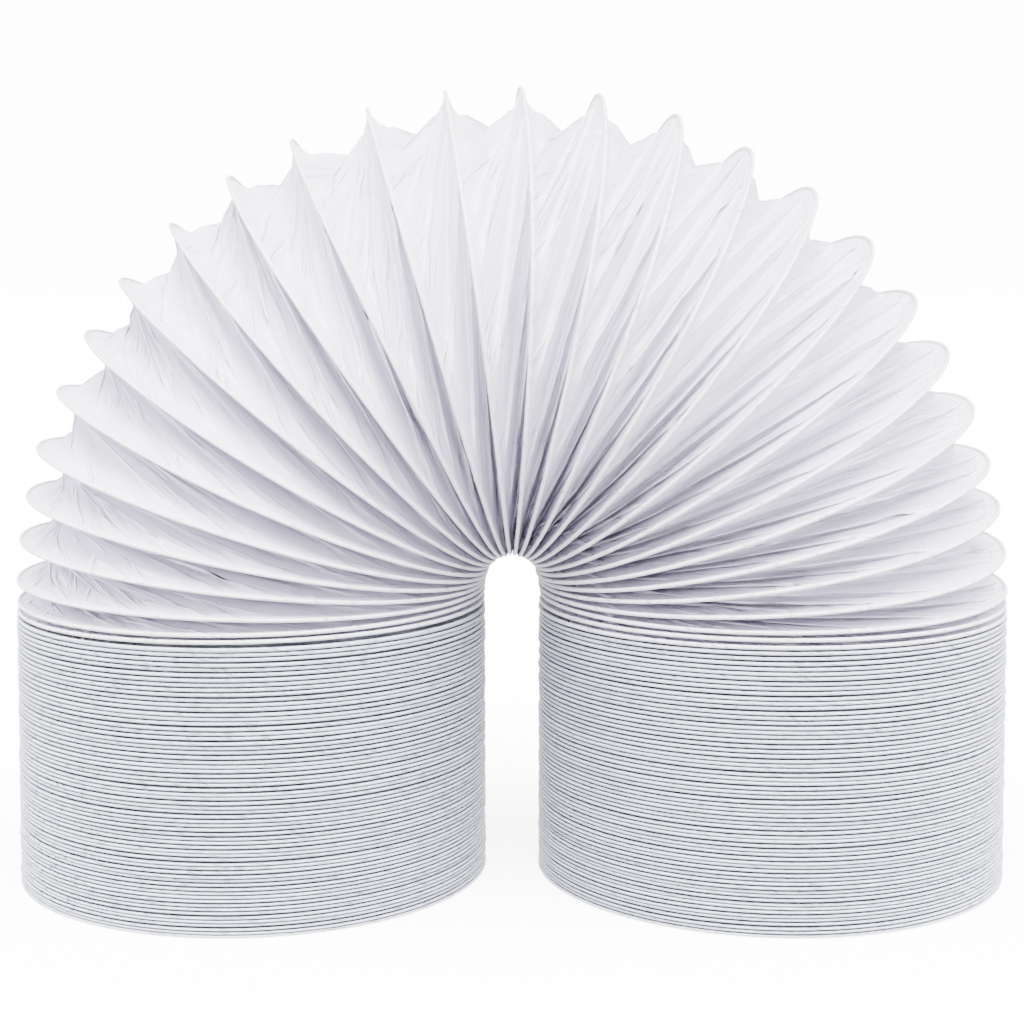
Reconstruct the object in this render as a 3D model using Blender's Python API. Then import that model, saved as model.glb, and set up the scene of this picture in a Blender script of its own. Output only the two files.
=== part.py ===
"""Ventilation hose: a pleated white film duct on a sheathed spring wire, standing on its two ends as an arch.

Metres, +Z up. The origin lies on the floor midway between the two ends. X runs from the left leg to
the right leg, and the front of the hose faces -Y.

Places along the hose are counted in turns of the wire from the crown: the pleats are open from
-HALF_OPEN to HALF_OPEN turns, and packed tight in the legs beyond. Places around the hose are angles:
0 on the outside of the arch, a quarter turn at the front, half a turn on the inside.
"""

import math

import bmesh
import bpy
import numpy as np
from mathutils import Vector

# Hose, as it is made
OUTER_DIAMETER = 0.150      # over the wired ridges
WIRE_DIAMETER = 0.00105     # spring wire in its sheath
FILM_WIDTH = 0.032          # film between neighbouring turns of wire, laid flat
FILM_THICKNESS = 0.0003
PACKED_PITCH = 0.00138      # from turn to turn in the legs, where the hose is pushed together

# Arch, as it stands
LEG_TURNS = 65              # packed turns in each leg
OPEN_TURNS = 28             # turns whose pleats are open over the arch
BEND_PITCH = 0.00125        # from turn to turn on the inside of the arch, squeezed by the bend
OPENING_POWER = 2.3         # how evenly the opening is shared: higher keeps it even for longer
RIDGE_PHASE = 0.12          # turns from the crown to the nearest ridge top
FOOT_DROP = 0.3             # turns from the start of the opening down to the open film's foot

# Packed stacks, whose turns are drawn a few at a time as one thick fold
DRAWN_FOLDS = 13            # folds in each stack
OUTER_GAP_TURNS = 1.0       # width of a gap between two folds, in packed turns
INNER_GAP_SHARE = 0.4       # width of a gap in the bore, as a share of one fold
GAP_DEPTH = 0.0045          # how deep the gaps go, from outside and from the bore

# Fit and fineness
WIRE_CLEARANCE = 0.0003     # film crest to wire
STACK_CLEARANCE = 0.0003    # top of a packed stack to the foot of the open film
FOLD_WALL = 0.001           # thickest that the film is drawn at the bottom of a fold
SEGMENTS = 28               # flat sides of one open turn
STACK_SEGMENTS = 40         # flat sides of a packed stack
PATH_STEPS = 400            # steps of the inside line from the crown to a leg

# Finish
FILM_COLOR = (0.86, 0.86, 0.88, 1.0)
STACK_COLOR = (0.80, 0.81, 0.85, 1.0)
WIRE_COLOR = (0.90, 0.90, 0.92, 1.0)
FILM_ROUGHNESS = 0.45
STACK_ROUGHNESS = 0.5
WIRE_ROUGHNESS = 0.35

HALF_OPEN = OPEN_TURNS / 2
OUTER_RADIUS = OUTER_DIAMETER / 2
LEG_HEIGHT = LEG_TURNS * PACKED_PITCH
CREST_RADIUS = OUTER_RADIUS - WIRE_DIAMETER - WIRE_CLEARANCE
WIRE_RADIUS = OUTER_RADIUS - WIRE_DIAMETER / 2
PACKED_DEPTH = math.sqrt((FILM_WIDTH / 2) ** 2 - (PACKED_PITCH / 2) ** 2)
LEDGE_RADIUS = CREST_RADIUS - PACKED_DEPTH
BORE_RADIUS = LEDGE_RADIUS - FOLD_WALL
FOOT_TURN = HALF_OPEN + FOOT_DROP
STACK_TOP_TURN = FOOT_TURN + STACK_CLEARANCE / PACKED_PITCH
END_TURN = HALF_OPEN + LEG_TURNS


def lean(turn):
    """Angle of a turn's plane: level (0) in the left leg, upright at the crown, pi in the right leg."""
    share = max(-1.0, min(1.0, turn / HALF_OPEN))
    power = OPENING_POWER + 1
    eased = share - math.copysign(abs(share) ** power / power, share)
    return math.pi / 2 * (1 + eased * power / OPENING_POWER)


def walk_inside_line():
    """The arch's inside line from the crown to the right leg: turns, distances across, distances down."""
    turns = np.linspace(0, HALF_OPEN, PATH_STEPS + 1)
    leans = np.array([lean(turn) for turn in turns])
    step = BEND_PITCH * HALF_OPEN / PATH_STEPS
    across, down = np.sin(leans) * step, -np.cos(leans) * step
    across = np.concatenate([[0], np.cumsum((across[1:] + across[:-1]) / 2)])
    down = np.concatenate([[0], np.cumsum((down[1:] + down[:-1]) / 2)])
    return turns, across, down


LINE_TURNS, LINE_ACROSS, LINE_DOWN = walk_inside_line()
CROWN_INSIDE_Z = LEG_HEIGHT + LINE_DOWN[-1]


def hose_point(turn, angle, radius):
    """A point at that place along and around the hose, and that far from its centre line."""
    along = min(abs(turn), HALF_OPEN)
    in_leg = abs(turn) - along
    across = math.copysign(np.interp(along, LINE_TURNS, LINE_ACROSS), turn)
    down = np.interp(along, LINE_TURNS, LINE_DOWN) + in_leg * PACKED_PITCH
    inside = Vector((across, 0, CROWN_INSIDE_Z - down))
    tilt = lean(turn)
    outward = Vector((-math.cos(tilt), 0, math.sin(tilt)))
    forward = Vector((0, -1, 0))
    centre = inside + outward * OUTER_RADIUS
    return centre + (outward * math.cos(angle) + forward * math.sin(angle)) * radius


def fold_half_pitch(turn, angle):
    """Half the distance between the two ridges on either side of that fold."""
    before = hose_point(turn - 0.5, angle, CREST_RADIUS)
    after = hose_point(turn + 0.5, angle, CREST_RADIUS)
    return (after - before).length / 2


def fold_depth(turn, angle):
    """How far the film falls in between two ridges: the flat film is FILM_WIDTH wide."""
    half_pitch = fold_half_pitch(turn, angle)
    return math.sqrt((FILM_WIDTH / 2) ** 2 - half_pitch ** 2)


def film_drop(turn, angle):
    """Distance inwards from the film's outer face to its inner face, at a sharp fold."""
    return FILM_THICKNESS * FILM_WIDTH / 2 / fold_half_pitch(turn, angle)


def crest_wall(turn, angle):
    """The film's drop at a ridge, which never reaches halfway down the fold."""
    return min(film_drop(turn, angle), fold_depth(turn, angle) / 2)


def valley_wall(turn, angle):
    """The film's drop at the bottom of a fold."""
    return min(film_drop(turn, angle), FOLD_WALL)


def turn_angles(segments):
    """Angles around one turn, starting on the inside of the arch."""
    return [math.pi + 2 * math.pi * i / segments for i in range(segments)]


def crest_inner_radius(turn, angle):
    """Distance from the centre line to the film's inner face at a ridge."""
    return CREST_RADIUS - crest_wall(turn, angle)


def valley_radius(turn, angle):
    """Distance from the centre line to the film's outer face at the bottom of a fold."""
    return CREST_RADIUS - fold_depth(turn, angle)


def valley_inner_radius(turn, angle):
    """Distance from the centre line to the film's inner face at the bottom of a fold."""
    return valley_radius(turn, angle) - valley_wall(turn, angle)


def ring(turn, radius, segments=SEGMENTS):
    """One flat ring of points square across the hose."""
    return [hose_point(turn, angle, radius) for angle in turn_angles(segments)]


def winding_ring(start_turn, radius_at):
    """One ring that climbs with the wire, a whole turn from where it starts."""
    points = []
    for angle in turn_angles(SEGMENTS):
        turn = start_turn + (angle - math.pi) / (2 * math.pi)
        points.append(hose_point(turn, angle, radius_at(turn, angle)))
    return points


def ridge_starts():
    """Turns at which each open ridge starts, on the inside of the arch."""
    first = -HALF_OPEN + (RIDGE_PHASE + 0.5) % 1
    return [first + i for i in range(OPEN_TURNS - 1)]


def open_film_rings():
    """Rings of the open film's outer face and of its inner face, from its left foot to its right foot."""
    outer = [ring(-FOOT_TURN, LEDGE_RADIUS)]
    inner = [ring(-FOOT_TURN, BORE_RADIUS)]
    starts = ridge_starts()
    for start in starts:
        outer.append(winding_ring(start, lambda turn, angle: CREST_RADIUS))
        inner.append(winding_ring(start, crest_inner_radius))
        if start != starts[-1]:
            outer.append(winding_ring(start + 0.5, valley_radius))
            inner.append(winding_ring(start + 0.5, valley_inner_radius))
    outer.append(ring(FOOT_TURN, LEDGE_RADIUS))
    inner.append(ring(FOOT_TURN, BORE_RADIUS))
    return outer, inner


def skin(bm, rings):
    """Covers a row of rings with triangles, all split the same way, and returns the rings' vertices."""
    rows = [[bm.verts.new(point) for point in points] for points in rings]
    for lower, upper in zip(rows, rows[1:]):
        for i in range(len(lower)):
            j = (i + 1) % len(lower)
            bm.faces.new((lower[i], lower[j], upper[j]))
            bm.faces.new((lower[i], upper[j], upper[i]))
    return rows


def close_end(bm, outer, inner):
    """The flat ring-shaped face of one end, between its outer and inner edges."""
    for i in range(len(outer)):
        j = (i + 1) % len(outer)
        bm.faces.new((outer[i], outer[j], inner[j], inner[i]))


def make_tube(name, outer_rings, inner_rings, material):
    """A tube with a wall: an outer face and an inner face, closed at both ends."""
    bm = bmesh.new()
    outer = skin(bm, outer_rings)
    inner = skin(bm, inner_rings)
    close_end(bm, outer[0], inner[0])
    close_end(bm, outer[-1], inner[-1])
    finish_object(name, bm, material)


def plain_material(name, color, roughness):
    """A plain finish of one colour."""
    material = bpy.data.materials.new(name)
    material.use_nodes = True
    shader = material.node_tree.nodes["Principled BSDF"]
    shader.inputs["Base Color"].default_value = color
    shader.inputs["Roughness"].default_value = roughness
    shader.inputs["Metallic"].default_value = 0.0
    return material


def finish_object(name, bm, material):
    """Turns a finished shape into a named object, with all its faces outward."""
    bmesh.ops.recalc_face_normals(bm, faces=bm.faces)
    mesh = bpy.data.meshes.new(name)
    bm.to_mesh(mesh)
    bm.free()
    mesh.materials.append(material)
    obj = bpy.data.objects.new(name, mesh)
    bpy.context.scene.collection.objects.link(obj)


def make_open_film():
    """The film over the arch: one tube of open pleats, wound with the wire."""
    outer, inner = open_film_rings()
    make_tube("open_film", outer, inner, plain_material("white_film", FILM_COLOR, FILM_ROUGHNESS))


def notched_line(start_turn, stop_turn, notch_turns, notch_width, face_radius, notch_radius):
    """Turns and radii along a stack's wall, with a sharp notch at each of those turns."""
    line = [(start_turn, face_radius)]
    for turn in notch_turns:
        line.append((turn - notch_width / 2, face_radius))
        line.append((turn, notch_radius))
        line.append((turn + notch_width / 2, face_radius))
    line.append((stop_turn, face_radius))
    return line


def stack_rings(foot_turn, top_turn):
    """Rings of a stack's outer wall and of its bore, whose gaps lie halfway between the outer ones."""
    fold_turns = (top_turn - foot_turn) / DRAWN_FOLDS
    outer_gap = math.copysign(OUTER_GAP_TURNS, fold_turns)
    outer_turns = [foot_turn + fold_turns * i for i in range(1, DRAWN_FOLDS)]
    inner_turns = [foot_turn + fold_turns * (i + 0.5) for i in range(DRAWN_FOLDS)]
    outer_line = notched_line(
        foot_turn, top_turn, outer_turns, outer_gap, OUTER_RADIUS, OUTER_RADIUS - GAP_DEPTH)
    inner_line = notched_line(
        foot_turn, top_turn, inner_turns, fold_turns * INNER_GAP_SHARE, BORE_RADIUS, BORE_RADIUS + GAP_DEPTH)
    outer = [ring(turn, radius, STACK_SEGMENTS) for turn, radius in outer_line]
    inner = [ring(turn, radius, STACK_SEGMENTS) for turn, radius in inner_line]
    return outer, inner


def make_packed_stacks():
    """The two legs, where turns of wire and folded film lie tight on each other, as a few thick folds."""
    material = plain_material("packed_film", STACK_COLOR, STACK_ROUGHNESS)
    for name, side in (("left_stack", -1), ("right_stack", 1)):
        outer, inner = stack_rings(side * END_TURN, side * STACK_TOP_TURN)
        make_tube(name, outer, inner, material)


def wire_section(turn, angle):
    """The four corners of the wire's section: outward, up along the hose, inward, back along it."""
    half = WIRE_DIAMETER / 2
    tilt = lean(turn)
    up_hose = Vector((math.sin(tilt), 0, math.cos(tilt))) * half
    centre = hose_point(turn, angle, WIRE_RADIUS)
    return [
        hose_point(turn, angle, WIRE_RADIUS + half),
        centre + up_hose,
        hose_point(turn, angle, WIRE_RADIUS - half),
        centre - up_hose,
    ]


def make_wire_helix():
    """The sheathed spring wire on the ridges of the open pleats, from one leg to the other."""
    bm = bmesh.new()
    starts = ridge_starts()
    sections = []
    for i in range(len(starts) * SEGMENTS + 1):
        along = i / SEGMENTS
        corners = wire_section(starts[0] + along, math.pi + 2 * math.pi * along)
        sections.append([bm.verts.new(point) for point in corners])
    for near, far in zip(sections, sections[1:]):
        for i in range(len(near)):
            j = (i + 1) % len(near)
            bm.faces.new((near[i], near[j], far[j], far[i]))
    bm.faces.new(sections[0])
    bm.faces.new(sections[-1])
    finish_object("wire_helix", bm, plain_material("wire_sheath", WIRE_COLOR, WIRE_ROUGHNESS))


def main():
    for obj in list(bpy.data.objects):
        bpy.data.objects.remove(obj, do_unlink=True)
    make_packed_stacks()
    make_open_film()
    make_wire_helix()


main()
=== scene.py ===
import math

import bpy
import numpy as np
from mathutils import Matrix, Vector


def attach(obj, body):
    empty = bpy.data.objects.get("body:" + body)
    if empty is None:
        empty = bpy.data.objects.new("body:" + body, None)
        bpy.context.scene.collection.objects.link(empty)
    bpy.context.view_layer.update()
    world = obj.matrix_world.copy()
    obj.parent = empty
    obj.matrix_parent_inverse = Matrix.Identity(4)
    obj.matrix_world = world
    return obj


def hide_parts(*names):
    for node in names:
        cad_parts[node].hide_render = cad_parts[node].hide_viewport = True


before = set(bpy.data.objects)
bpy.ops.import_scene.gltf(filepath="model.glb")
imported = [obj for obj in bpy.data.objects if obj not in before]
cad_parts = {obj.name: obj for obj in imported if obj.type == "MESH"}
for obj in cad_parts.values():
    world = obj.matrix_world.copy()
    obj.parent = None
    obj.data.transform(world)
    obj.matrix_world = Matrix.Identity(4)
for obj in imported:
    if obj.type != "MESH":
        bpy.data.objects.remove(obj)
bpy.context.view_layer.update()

# The ventilation hose as it looks: a strip of thin white film wound on a spring wire. The strip's two
# edges hang on neighbouring turns of the wire, and the film between them falls in as a creased pleat.
# Metres, +Z up. Places along the hose are turns of the wire from the crown of the arch, and places
# around it are angles: 0 on the outside of the arch, a quarter turn at the front, half a turn inside.

# The hose, with the numbers of its solids
OUTER_RADIUS = 0.075
PACKED_PITCH = 0.00138
LEG_TURNS = 65
HALF_OPEN = 14
BEND_PITCH = 0.00125
OPENING_POWER = 2.3
RIDGE_PHASE = 0.12
LEG_HEIGHT = LEG_TURNS * PACKED_PITCH
FRONT_DROP = 0.04       # how far the arch's front hangs below its middle, as a share of the way forward
FRONT_DROP_FROM = HALF_OPEN - 4     # the drop fades out between these turns from the crown
FRONT_DROP_TO = HALF_OPEN + 3
# Room that a turn takes, in even turns, at some turns from the crown: the last open ones sag apart,
# and the weight above presses the lowest ones closer together
ROOM_TURNS = (0, 9.4, 10.4, 11.4, 12.4, 13.4, 14.4, 15.5, HALF_OPEN + LEG_TURNS)
ROOM = (1.0, 1.0, 1.1, 1.4, 1.75, 2.5, 1.3, 1.07, 0.83)
WIRE_WOBBLE = 0.00025   # how far the wire strays from its circle
LOOSE_ARCH = 0.04       # how far a turn strays along the hose, in turns: over the arch,
LOOSE_LEG = 0.05        # and that much more in the legs

# The wire in its hem
BEAD_RADIUS = 0.00062
HEM_GAP = 0.00036       # dark gap between two turns of a leg
HEM_LOWEST = 0.7        # limits of a flat hem's height, as a share of the usual one
HEM_HIGHEST = 1.4
BEAD_CENTRE_RADIUS = OUTER_RADIUS - BEAD_RADIUS
FILM_EDGE_RADIUS = OUTER_RADIUS - 0.0009
WIRE_STEPS = 128        # points along a turn of the wire in a leg
ARCH_WIRE_STEPS = 192   # and over the arch

# The film
FILM_WIDTH = 0.032
HEM_WIDTH = 0.0023
FILM_TURN = 2 * math.pi * FILM_EDGE_RADIUS
EDGE_TWIST = -0.010 / FILM_TURN     # how far the upper edge is turned back against the lower one, in turns
CREASES_PER_TURN = 17
CREASE_RUN = 0.064 / FILM_TURN      # how far along the wire a crease goes across the film, in turns
VALLEY_SOFTNESS = 0.14              # how round the film lies at the bottom between two creases
LIP_HEIGHT = 0.0006                 # how far a sharp crease stands up from the film beside it
GROOVE_DEPTH = 0.0004               # the groove along one side of it
PLAIN_CREASES = 8                   # creases that fade in at the hose's two ends
DENT_HEIGHT = 0.0013                # how high the small dents of handled film stand
BUNCH_DEPTH = 0.0008                # how far the film bunched up at the crown's inside lies below the wire
FILM_CUTS = (0, 10, 18, 2 * HALF_OPEN)  # turns where the open film is cut into its three lengths
LOWEST_FILM = 0.0002                # the legs' film stays that far above the floor

SEED = 23


def smooth_step(value, low, high):
    share = np.clip((value - low) / (high - low), 0, 1)
    return share * share * (3 - 2 * share)


# Places on the hose

def lean(turn):
    """Angle of a turn's plane: level (0) in the left leg, upright at the crown, pi in the right leg."""
    share = np.clip(turn / HALF_OPEN, -1.0, 1.0)
    power = OPENING_POWER + 1
    eased = share - np.copysign(np.abs(share) ** power / power, share)
    return math.pi / 2 * (1 + eased * power / OPENING_POWER)


def walk_inside_line(steps=400):
    """The arch's inside line from the crown to the right leg: turns, distances across, distances down."""
    turns = np.linspace(0, HALF_OPEN, steps + 1)
    leans = lean(turns)
    step = BEND_PITCH * HALF_OPEN / steps
    across, down = np.sin(leans) * step, -np.cos(leans) * step
    across = np.concatenate([[0], np.cumsum((across[1:] + across[:-1]) / 2)])
    down = np.concatenate([[0], np.cumsum((down[1:] + down[:-1]) / 2)])
    return turns, across, down


LINE_TURNS, LINE_ACROSS, LINE_DOWN = walk_inside_line()
CROWN_INSIDE_Z = LEG_HEIGHT + LINE_DOWN[-1]


def walk_room(steps=40):
    """How far from the crown each turn settles, in even turns; the last turn stays at the floor."""
    turns = np.linspace(0, ROOM_TURNS[-1], ROOM_TURNS[-1] * steps + 1)
    room = np.interp(turns, ROOM_TURNS, ROOM)
    places = np.concatenate([[0], np.cumsum((room[1:] + room[:-1]) / 2) / steps])
    leg = turns > HALF_OPEN
    top = places[leg][0]
    places[leg] = top + (places[leg] - top) * (turns[-1] - top) / (places[-1] - top)
    return turns, places


ROOM_STEPS, ROOM_PLACES = walk_room()


def hose_point(turn, angle, radius):
    """Points at those places along and around the hose, and that far from its centre line."""
    turn, angle, radius = np.broadcast_arrays(turn, angle, radius)
    along = np.minimum(np.abs(turn), HALF_OPEN)
    across = np.copysign(np.interp(along, LINE_TURNS, LINE_ACROSS), turn)
    down = np.interp(along, LINE_TURNS, LINE_DOWN) + (np.abs(turn) - along) * PACKED_PITCH
    tilt = lean(turn)
    reach = OUTER_RADIUS + radius * np.cos(angle)
    x = across - np.cos(tilt) * reach
    y = -radius * np.sin(angle)
    z = CROWN_INSIDE_Z - down + np.sin(tilt) * reach
    z = z + FRONT_DROP * y * smooth_step(np.abs(turn), FRONT_DROP_TO, FRONT_DROP_FROM)
    return np.stack([x, y, z], axis=-1)


def hose_direction(turn):
    """The way up the hose there, from the left leg to the right leg."""
    tilt = lean(turn)
    return np.stack([np.sin(tilt), np.zeros_like(tilt), np.cos(tilt)], axis=-1)


def unit(vectors):
    return vectors / np.maximum(np.linalg.norm(vectors, axis=-1, keepdims=True), 1e-12)


# Unevenness, the same at every run

rng = np.random.RandomState(SEED)
SWAY_RATES = np.array([0.31, 0.83, 1.37, 2.3, 3.1])
SWAY_STARTS = rng.uniform(0, 2 * math.pi, (3, SWAY_RATES.size))


def nested(low, high, own_share):
    """A value for each crease: much the same in the pleats above and below, where the folds nest."""
    turns, slots = 400, CREASES_PER_TURN
    drift = np.cumsum(rng.normal(0, 1, (turns, slots)), axis=0)
    drift = np.sin(0.35 * drift + rng.uniform(0, 2 * math.pi, slots))
    value = (1 - own_share) * (0.5 + 0.5 * drift) + own_share * rng.uniform(0, 1, (turns, slots))
    return low + (high - low) * value.ravel()


CREASE_SHIFTS = nested(-0.2, 0.2, 0.4)
CREASE_RUNS = nested(0.84, 1.16, 0.4)
CREASE_STRENGTHS = nested(0.72, 1.0, 0.5)
CREASE_LIPS = nested(0.2, 1.0, 0.7)

# Waves that make up the dents: directions over the film, lengths and starts, then the patches they lie in
DENT_ANGLES = rng.uniform(0, math.pi, 7)
DENT_SIZES = rng.uniform(0.008, 0.018, 7)
DENT_STARTS = rng.uniform(0, 2 * math.pi, 7)
PATCH_ANGLES = rng.uniform(0, math.pi, 4)
PATCH_SIZES = rng.uniform(0.05, 0.12, 4)
PATCH_STARTS = rng.uniform(0, 2 * math.pi, 4)


def sway(turn, kind):
    """A slow unevenness along the wire, between about -1 and 1."""
    swings = np.sin(2 * math.pi * np.multiply.outer(turn, SWAY_RATES) + SWAY_STARTS[kind])
    return swings.mean(axis=-1) * 1.6


def wire_angle(turn):
    return 2 * math.pi * (turn - RIDGE_PHASE)


def settled_turn(turn):
    """A turn's place along the hose, a little off even spacing."""
    place = np.copysign(np.interp(np.abs(turn), ROOM_STEPS, ROOM_PLACES), turn)
    loose = LOOSE_ARCH + LOOSE_LEG * smooth_step(np.abs(turn), HALF_OPEN - 4, HALF_OPEN)
    return place + loose * sway(turn, 0)


def wire_point(turn, radius):
    """A point on the wire, or that far from the centre line at the wire's place."""
    return hose_point(settled_turn(turn), wire_angle(turn), radius + WIRE_WOBBLE * sway(turn, 1))


# The film's shape

LEFT_END = -(HALF_OPEN + LEG_TURNS) - 0.13      # both ends lie at the back
RIGHT_END = HALF_OPEN + LEG_TURNS - 0.13
# Turns of the film's lower edge; its upper edge is a turn further along
FILM_START = LEFT_END
FILM_END = RIGHT_END - 1
CREASES = round((FILM_END - FILM_START) * CREASES_PER_TURN)
# The creases between which the film lies open over the arch
OPEN_FIRST = round((RIDGE_PHASE - 0.5 - HALF_OPEN - FILM_START) * CREASES_PER_TURN)
OPEN_LAST = OPEN_FIRST + 2 * HALF_OPEN * CREASES_PER_TURN


def crease_ends():
    """Where each crease leaves the film's upper edge and where it meets the lower one, in turns."""
    number = np.arange(CREASES + 1)
    fade = smooth_step(np.minimum(number, CREASES - number) / PLAIN_CREASES, 0, 1)
    middle = FILM_START + (FILM_END - FILM_START) * number / CREASES
    middle = middle + CREASE_SHIFTS[:CREASES + 1] * fade / CREASES_PER_TURN
    run = CREASE_RUN * CREASE_RUNS[:CREASES + 1] * fade
    return middle - run / 2, middle + run / 2, fade


UPPER_ENDS, LOWER_ENDS, CREASE_FADE = crease_ends()


def ramp(step):
    """Nothing up to half way to the next crease, then an even rise, with a round corner between."""
    corner = (step - 0.5 + VALLEY_SOFTNESS) ** 2 / (2 * VALLEY_SOFTNESS)
    rise = np.where(step > 0.5 + VALLEY_SOFTNESS, 2 * step - 1, corner)
    return np.where(step < 0.5 - VALLEY_SOFTNESS, 0.0, rise)


def creased_film(first, last, steps, across):
    """The strip between two of its creases: straight lines from edge to edge, which fan out by turns
    from the upper end of each crease and from the lower end of the next one."""
    number = np.repeat(np.arange(first, last), len(steps))
    step = np.tile(steps, last - first)
    number = np.append(number, last)
    step = np.append(step, 0.0)
    following = np.minimum(number + 1, CREASES)
    strength = CREASE_STRENGTHS[number % CREASE_STRENGTHS.size] * CREASE_FADE[number]
    upper_share = step * (1 - strength) + ramp(step) * strength
    lower_share = step * (1 - strength) + (1 - ramp(1 - step)) * strength
    upper = UPPER_ENDS[number] * (1 - upper_share) + UPPER_ENDS[following] * upper_share
    lower = LOWER_ENDS[number] * (1 - lower_share) + LOWER_ENDS[following] * lower_share
    twist = EDGE_TWIST * CREASE_FADE[number]
    v = across[None, :, None]
    lower_edge = wire_point(lower, FILM_EDGE_RADIUS)[:, None]
    upper_edge = wire_point(upper + 1 + twist, FILM_EDGE_RADIUS)[:, None]
    points = lower_edge * (1 - v) + upper_edge * v
    place = settled_turn(lower)[:, None] * (1 - across) + settled_turn(upper + 1)[:, None] * across
    outward = unit(points - hose_point(place, 0.0, 0.0))
    lip = np.where(step == 0, LIP_HEIGHT, np.where(step > 0.98, -GROOVE_DEPTH, 0))
    lip = lip * CREASE_LIPS[number % CREASE_LIPS.size] * CREASE_FADE[number]
    profile = smooth_step(across, 0.12, 0.4) * smooth_step(across, 0.97, 0.88)
    points = points + outward * (lip[:, None] * profile)[..., None]
    points = even_out(points, len(steps), across)
    points = bunched(points, place)
    lengths = (lower[:, None] * (1 - across) + upper[:, None] * across) * FILM_TURN
    return points, lengths


def bunched(points, place):
    """At the crown the film is bunched up under the wire on the arch's inside, so nothing shows through."""
    centre = hose_point(place, 0.0, 0.0)
    arm = points - centre
    reach = np.maximum(np.linalg.norm(arm, axis=-1), 1e-6)
    inside = -(arm * (hose_point(place, 0.0, 1.0) - centre)).sum(axis=-1) / reach
    share = smooth_step(inside, 0.94, 0.985) * smooth_step(np.abs(place), 5, 3)
    wanted = np.maximum(reach, FILM_EDGE_RADIUS - BUNCH_DEPTH)
    return centre + arm * (1 + (wanted / reach - 1) * share)[..., None]


def even_out(points, per_crease, across):
    """Lets the creases fade towards the film's lower edge and in its hems."""
    reach = per_crease // 2
    inner = points[reach:-reach]
    count = points.shape[0] - 2 * reach
    mean = sum(points[k:k + count] for k in range(2 * reach + 1)) / (2 * reach + 1)
    share = np.maximum(smooth_step(across, 0.3, 0.05), smooth_step(across, 0.9, 1.0))
    share[0] = share[-1] = 0
    points[reach:-reach] = inner + (mean - inner) * (0.8 * share)[None, :, None]
    return points


def waves(lengths, widths, angles, sizes, starts, bend=0):
    """Crossing waves over the flat film, one after another."""
    for angle, size, start in zip(angles, sizes, starts):
        way = lengths * math.cos(angle) + widths * math.sin(angle)
        yield np.sin(2 * math.pi * way / size + start + bend)


def dented(points, lengths, widths):
    """Small sharp-edged dents in patches, none at the wire nor at the two ends of this length of film."""
    slow = sum(waves(lengths, widths, PATCH_ANGLES, PATCH_SIZES, PATCH_STARTS))
    patches = 0.35 + 0.65 * smooth_step(slow, -0.6, 1.6)
    crossing = waves(lengths, widths, DENT_ANGLES, DENT_SIZES, DENT_STARTS, 1.4 * slow)
    sharp = sum((1 - np.abs(wave)) ** 2 for wave in crossing)
    height = DENT_HEIGHT * patches * (sharp / len(DENT_SIZES) * 2 - 0.7)
    share = widths / FILM_WIDTH
    height = height * smooth_step(share, 0.02, 0.12) * smooth_step(share, 0.99, 0.9)
    row = np.arange(len(points))
    height = height * smooth_step(np.minimum(row, len(points) - 1 - row), 0, 30)[:, None]
    facing = unit(np.cross(np.gradient(points, axis=0), np.gradient(points, axis=1)))
    return points + facing * height[..., None]


# Making pieces

def clear_selection():
    if bpy.context.object and bpy.context.object.mode != "OBJECT":
        bpy.ops.object.mode_set(mode="OBJECT")
    bpy.ops.object.select_all(action="DESELECT")


def wound_grid(name, points, lengths, widths):
    """A grid laid through those points, with its own lengths and widths in metres as its UV map."""
    clear_selection()
    rows, columns = points.shape[:2]
    bpy.ops.mesh.primitive_grid_add(
        x_subdivisions=rows - 1, y_subdivisions=columns - 1, size=1, calc_uvs=True
    )
    piece = bpy.context.object
    piece.name = name
    mesh = piece.data
    mesh.name = name
    flat = np.empty(len(mesh.vertices) * 3)
    mesh.vertices.foreach_get("co", flat)
    flat = flat.reshape(-1, 3)
    row = np.rint((flat[:, 0] + 0.5) * (rows - 1)).astype(int)
    column = np.rint((flat[:, 1] + 0.5) * (columns - 1)).astype(int)
    mesh.vertices.foreach_set("co", points[row, column].ravel())
    corners = np.empty(len(mesh.loops), dtype=np.int32)
    mesh.loops.foreach_get("vertex_index", corners)
    uv = np.stack([lengths[row, column][corners], widths[column[corners]]], axis=-1)
    mesh.uv_layers[0].uv.foreach_set("vector", uv.ravel())
    mesh.update()
    return piece


def finish_piece(piece, node, material):
    """Smooth faces, one finish, and its place in the model."""
    piece.data.materials.clear()
    piece.data.materials.append(material)
    piece.data.shade_smooth()
    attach(piece, "root")
    if node:
        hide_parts(node)


# Sections of the wire in its hem: outward and along the hose, both in metres
ROUND_HEM = [
    (BEAD_RADIUS * math.cos(k * math.pi / 4), BEAD_RADIUS * math.sin(k * math.pi / 4)) for k in range(8)
]
FLAT_HEM = [
    (0.00060, -0.00016), (0.00060, 0.00020), (0.00036, 0.00043),
    (-0.00060, 0.00040), (-0.00060, -0.00040), (0.00036, -0.00040),
]


def hem_heights(turns):
    """How high the flat hem is in a leg, as a share: it fills the room of its turn but for a thin gap."""
    room = np.interp(np.abs(turns), ROOM_TURNS, ROOM) * PACKED_PITCH
    return np.clip((room - HEM_GAP) / (PACKED_PITCH - HEM_GAP), HEM_LOWEST, HEM_HIGHEST)


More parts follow.
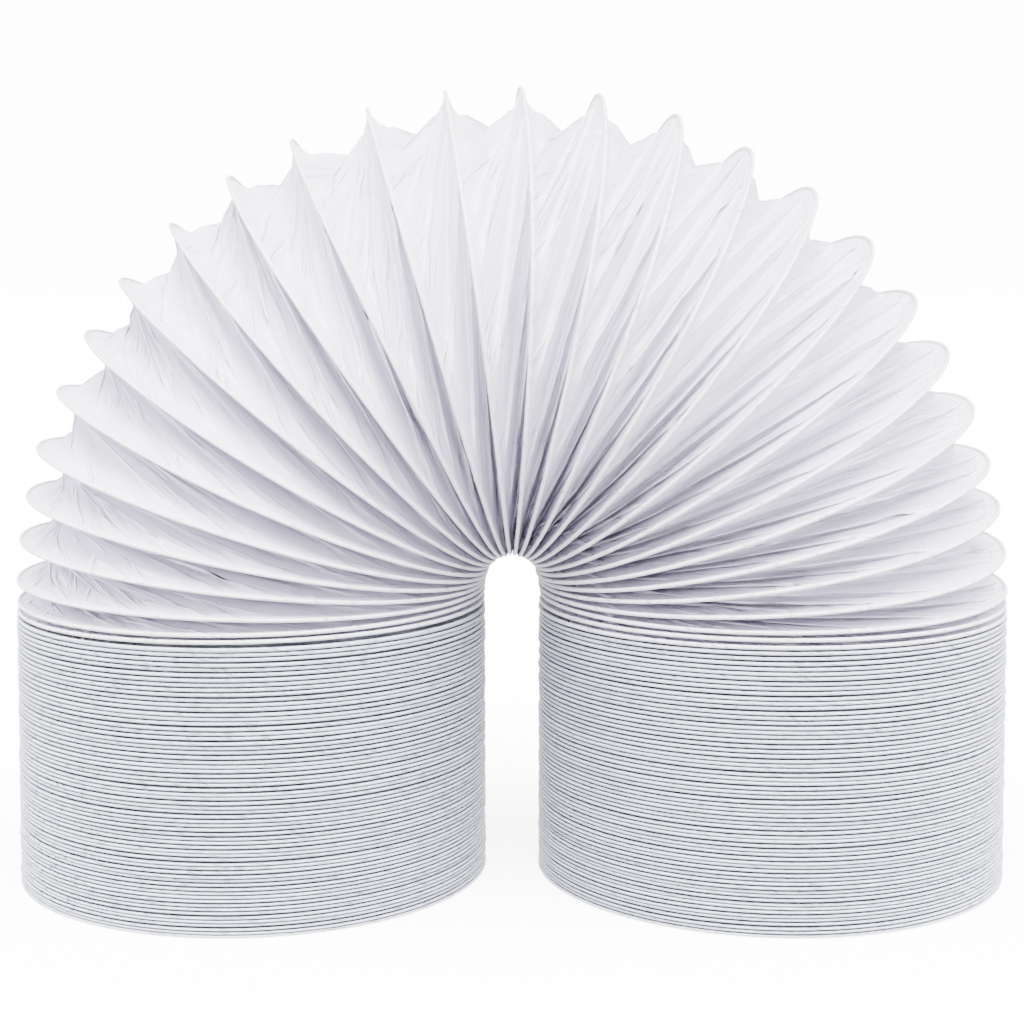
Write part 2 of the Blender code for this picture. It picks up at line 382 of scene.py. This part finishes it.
def wound_bead(name, turns, section, heights, node, material):
    """The wire in its hem: a cord wound along the ridges, closed at both ends."""
    section = np.array(section + section[:1])
    centre = wire_point(turns, BEAD_CENTRE_RADIUS)
    centre[:, 2] = np.maximum(centre[:, 2], BEAD_RADIUS)
    outward = unit(wire_point(turns, BEAD_CENTRE_RADIUS + 0.001) - centre)
    along = hose_direction(settled_turn(turns))
    points = (
        centre[:, None]
        + outward[:, None] * section[None, :, :1]
        + along[:, None] * section[None, :, 1:] * heights[:, None, None]
    )
    lengths = np.repeat(turns[:, None], len(section), axis=1) * 2 * math.pi * OUTER_RADIUS
    around = np.linspace(0, 2 * math.pi * BEAD_RADIUS, len(section))
    piece = wound_grid(name, points, lengths, around)
    bpy.ops.object.mode_set(mode="EDIT")
    bpy.ops.mesh.select_all(action="SELECT")
    bpy.ops.mesh.remove_doubles(threshold=1e-6)
    bpy.ops.mesh.select_all(action="DESELECT")
    bpy.ops.mesh.select_non_manifold()
    bpy.ops.mesh.fill()
    bpy.ops.mesh.select_all(action="SELECT")
    bpy.ops.mesh.normals_make_consistent(inside=False)
    bpy.ops.object.mode_set(mode="OBJECT")
    finish_piece(piece, node, material)


# Rows of points from a crease to the next one, and columns across the film, as shares of the way
OPEN_STEPS = (0, 0.014, 0.055, 0.12, 0.2, 0.28, 0.36, 0.43, 0.5, 0.57, 0.64, 0.72, 0.8, 0.88, 0.945, 0.986)
OPEN_COLUMNS = np.array(
    [0, 0.035, 0.072, 0.13, 0.2, 0.29, 0.39, 0.5, 0.61, 0.71, 0.8, 0.87, 0.928, 0.965, 1.0]
)
PACKED_STEPS = (0, 0.25, 0.5, 0.75)
PACKED_COLUMNS = np.array([0, 0.25, 0.5, 0.75, 1.0])


def make_open_film(material):
    """The film over the arch, in three lengths that meet along creases."""
    steps = OPEN_STEPS
    points, lengths = creased_film(OPEN_FIRST, OPEN_LAST, steps, OPEN_COLUMNS)
    points = dented(points, lengths, OPEN_COLUMNS * FILM_WIDTH)
    per_turn = CREASES_PER_TURN * len(steps)
    for name, start, stop in zip(("film_left", "film_crown", "film_right"), FILM_CUTS, FILM_CUTS[1:]):
        rows = slice(start * per_turn, stop * per_turn + 1)
        piece = wound_grid(name, points[rows], lengths[rows], OPEN_COLUMNS * FILM_WIDTH)
        finish_piece(piece, "open_film", material)


def make_packed_film(name, first, last, node, material):
    """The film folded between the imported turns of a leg, seen edge on in the gaps and inside the bore."""
    points, lengths = creased_film(first, last, PACKED_STEPS, PACKED_COLUMNS)
    points[..., 2] = np.maximum(points[..., 2], LOWEST_FILM)
    piece = wound_grid(name, points, lengths, PACKED_COLUMNS * FILM_WIDTH)
    finish_piece(piece, node, material)


# Finishes

def shader_of(material):
    material.use_nodes = True
    return material.node_tree.nodes["Principled BSDF"]


def width_mask(nodes, links, low, high):
    """0 next to the film's edges and 1 in its middle, changing between those distances from the edge."""
    flat = nodes.new("ShaderNodeUVMap")
    parts = nodes.new("ShaderNodeSeparateXYZ")
    links.new(flat.outputs["UV"], parts.inputs[0])
    aside = nodes.new("ShaderNodeMath")
    aside.operation = "SUBTRACT"
    aside.inputs[0].default_value = FILM_WIDTH
    links.new(parts.outputs["Y"], aside.inputs[1])
    nearest = nodes.new("ShaderNodeMath")
    nearest.operation = "MINIMUM"
    links.new(parts.outputs["Y"], nearest.inputs[0])
    links.new(aside.outputs[0], nearest.inputs[1])
    mask = nodes.new("ShaderNodeMapRange")
    mask.interpolation_type = "SMOOTHSTEP"
    mask.inputs["From Min"].default_value = low
    mask.inputs["From Max"].default_value = high
    links.new(nearest.outputs[0], mask.inputs["Value"])
    return mask


def crease_streaks(nodes, links):
    """Fine ridges of the film that run the way the creases run."""
    flat = nodes.new("ShaderNodeUVMap")
    turned = nodes.new("ShaderNodeMapping")
    turned.inputs["Rotation"].default_value = (0, 0, math.atan2(FILM_WIDTH, CREASE_RUN * FILM_TURN))
    links.new(flat.outputs["UV"], turned.inputs["Vector"])
    stretched = nodes.new("ShaderNodeMapping")
    stretched.inputs["Scale"].default_value = (22, 330, 1)
    links.new(turned.outputs["Vector"], stretched.inputs["Vector"])
    noise = nodes.new("ShaderNodeTexNoise")
    noise.inputs["Scale"].default_value = 1
    noise.inputs["Detail"].default_value = 3
    noise.inputs["Distortion"].default_value = 0.6
    links.new(stretched.outputs["Vector"], noise.inputs["Vector"])
    sharp = nodes.new("ShaderNodeMapRange")
    sharp.inputs["From Min"].default_value = 0.55
    sharp.inputs["From Max"].default_value = 0.66
    links.new(noise.outputs["Fac"], sharp.inputs["Value"])
    bump = nodes.new("ShaderNodeBump")
    bump.inputs["Strength"].default_value = 0.9
    bump.inputs["Distance"].default_value = 0.0006
    links.new(sharp.outputs[0], bump.inputs["Height"])
    return bump


def film_finish(name, color, shade, painted_edge_shade=None):
    """Thin white film: soft gloss, faint cloudiness, fine crinkles and the step of its hem; given an edge
    colour, also painted shade in a band along its edges.
    """
    material = bpy.data.materials.new(name)
    shader = shader_of(material)
    nodes, links = material.node_tree.nodes, material.node_tree.links
    shader.inputs["Roughness"].default_value = 0.42
    shader.inputs["IOR"].default_value = 1.53
    place = nodes.new("ShaderNodeTexCoord")
    clouds = nodes.new("ShaderNodeTexNoise")
    clouds.inputs["Scale"].default_value = 45
    clouds.inputs["Detail"].default_value = 3
    links.new(place.outputs["Object"], clouds.inputs["Vector"])
    tint = nodes.new("ShaderNodeMix")
    tint.data_type = "RGBA"
    tint.inputs[6].default_value = color
    tint.inputs[7].default_value = shade
    links.new(clouds.outputs["Fac"], tint.inputs[0])
    tinted = tint
    # painted shade: a darker band along the film's edges, where the packed turns lie on each other
    if painted_edge_shade:
        mask = width_mask(nodes, links, 0.002, 0.007)
        tinted = nodes.new("ShaderNodeMix")
        tinted.data_type = "RGBA"
        tinted.inputs[6].default_value = painted_edge_shade
        links.new(tint.outputs[2], tinted.inputs[7])
        links.new(mask.outputs[0], tinted.inputs[0])
    links.new(tinted.outputs[2], shader.inputs["Base Color"])
    crinkle = nodes.new("ShaderNodeTexNoise")
    crinkle.inputs["Scale"].default_value = 380
    crinkle.inputs["Detail"].default_value = 4
    crinkle.inputs["Roughness"].default_value = 0.55
    links.new(place.outputs["Object"], crinkle.inputs["Vector"])
    bump = nodes.new("ShaderNodeBump")
    bump.inputs["Strength"].default_value = 0.25
    bump.inputs["Distance"].default_value = 0.0003
    links.new(crinkle.outputs["Fac"], bump.inputs["Height"])
    streaks = crease_streaks(nodes, links)
    links.new(bump.outputs["Normal"], streaks.inputs["Normal"])
    hem = width_mask(nodes, links, HEM_WIDTH, HEM_WIDTH + 0.0004)
    step = nodes.new("ShaderNodeBump")
    step.invert = True
    step.inputs["Strength"].default_value = 0.8
    step.inputs["Distance"].default_value = 0.0002
    links.new(hem.outputs[0], step.inputs["Height"])
    links.new(streaks.outputs["Normal"], step.inputs["Normal"])
    links.new(step.outputs["Normal"], shader.inputs["Normal"])
    return material


def floor_finish():
    material = bpy.data.materials.new("pale_floor")
    shader = shader_of(material)
    shader.inputs["Base Color"].default_value = (0.86, 0.86, 0.86, 1)
    shader.inputs["Roughness"].default_value = 0.9
    shader.inputs["Emission Color"].default_value = (1, 1, 1, 1)
    shader.inputs["Emission Strength"].default_value = 6.0
    return material


def wall_finish():
    """The white wall far behind, lit by itself."""
    material = bpy.data.materials.new("lit_wall")
    shader = shader_of(material)
    shader.inputs["Base Color"].default_value = (0.0, 0.0, 0.0, 1)
    shader.inputs["Emission Color"].default_value = (1, 1, 1, 1)
    shader.inputs["Emission Strength"].default_value = 14.0
    return material


# Floor, light and camera

FLOOR_SIZE = 60
WALL_RADIUS = 28
WALL_HEIGHT = 20
WALL_FOOT = -0.01       # the wall starts just under the floor

# The camera, fitted to the hose's outline in the photograph
PHOTO_PIXELS = 1024
FOCAL_PIXELS = 1937.3
SENSOR_WIDTH = 36       # millimetres
CAMERA_DISTANCE = 0.6246
CAMERA_HEIGHT = 0.1916
CAMERA_DIP = 3.92       # degrees below level
FRAME_SHIFT = -0.10


def set_stage():
    clear_selection()
    bpy.ops.mesh.primitive_plane_add(size=FLOOR_SIZE, location=(0, 0, 0))
    floor = bpy.context.object
    floor.name = "floor"
    floor.data.materials.append(floor_finish())
    floor.visible_diffuse = False
    floor.visible_glossy = False

    clear_selection()
    middle = WALL_FOOT + WALL_HEIGHT / 2
    bpy.ops.mesh.primitive_cylinder_add(
        vertices=64, radius=WALL_RADIUS, depth=WALL_HEIGHT, end_fill_type="NOTHING", location=(0, 0, middle)
    )
    wall = bpy.context.object
    wall.name = "white_wall"
    wall.data.materials.append(wall_finish())
    wall.visible_diffuse = False
    wall.visible_glossy = False

    world = bpy.data.worlds.new("white_room")
    bpy.context.scene.world = world
    world.use_nodes = True
    world.node_tree.nodes["Background"].inputs["Color"].default_value = (1.0, 1.0, 1.0, 1)
    world.node_tree.nodes["Background"].inputs["Strength"].default_value = 3.4

    # Name, place that it shines from, strength and softness in degrees
    for name, place, strength, softness in (
        ("top_light", (0.08, -0.8, 1.45), 20, 45),
        ("left_light", (-1.3, 0.0, 0.5), 19, 45),
        ("right_light", (1.3, 0.0, 0.5), 21, 45),
    ):
        light = bpy.data.lights.new(name, "SUN")
        light.energy = strength
        light.angle = math.radians(softness)
        lamp = bpy.data.objects.new(name, light)
        lamp.location = place
        lamp.rotation_euler = (-Vector(place)).to_track_quat("-Z", "Y").to_euler()
        bpy.context.scene.collection.objects.link(lamp)


def set_camera():
    camera = bpy.data.cameras.new("camera")
    camera.sensor_width = SENSOR_WIDTH
    camera.lens = FOCAL_PIXELS / PHOTO_PIXELS * SENSOR_WIDTH
    camera.shift_y = FRAME_SHIFT
    camera.clip_start = 0.05
    camera.clip_end = 200
    eye = bpy.data.objects.new("camera", camera)
    eye.location = (0, -CAMERA_DISTANCE, CAMERA_HEIGHT)
    eye.rotation_euler = (math.radians(90 - CAMERA_DIP), 0, 0)
    bpy.context.scene.collection.objects.link(eye)
    bpy.context.scene.camera = eye


def main():
    film = film_finish("white_film", (0.71, 0.685, 0.79, 1), (0.65, 0.625, 0.73, 1))
    # painted shade: the film packed in the legs is a darker copy of the white film, standing in for the
    # shade between the packed turns
    shaded_packed = film_finish(
        "packed_film", (0.52, 0.53, 0.58, 1), (0.45, 0.46, 0.51, 1), painted_edge_shade=(0.30, 0.305, 0.345, 1)
    )
    sheath = film_finish("wire_sheath", (0.65, 0.64, 0.70, 1), (0.60, 0.59, 0.65, 1))
    # painted shade: the legs' wire is a darker copy of the arch's wire sheath, standing in for the shade
    # between the packed turns
    shaded_leg_sheath = film_finish("shaded_leg_sheath", (0.48, 0.495, 0.58, 1), (0.42, 0.435, 0.51, 1))
    make_open_film(film)
    coarse = 1
    open_start = FILM_START + OPEN_FIRST / CREASES_PER_TURN
    open_end = open_start + 2 * HALF_OPEN + 1
    legs = (
        ("left", LEFT_END, open_start, "left_stack"),
        ("right", open_end, RIGHT_END, "right_stack"),
    )
    for side, first, last, node in legs:
        count = round((last - first) * WIRE_STEPS * coarse) + 1
        turns = np.linspace(first, last, count)
        wound_bead(side + "_leg_wire", turns, FLAT_HEM, hem_heights(turns), node, shaded_leg_sheath)
    turns = np.linspace(open_start, open_end, round((2 * HALF_OPEN + 1) * ARCH_WIRE_STEPS * coarse) + 1)
    wound_bead("arch_wire", turns, ROUND_HEM, np.ones(len(turns)), "wire_helix", sheath)
    make_packed_film("left_leg_film", 0, OPEN_FIRST, "left_stack", shaded_packed)
    make_packed_film("right_leg_film", OPEN_LAST, CREASES, "right_stack", shaded_packed)
    set_stage()
    set_camera()


main()
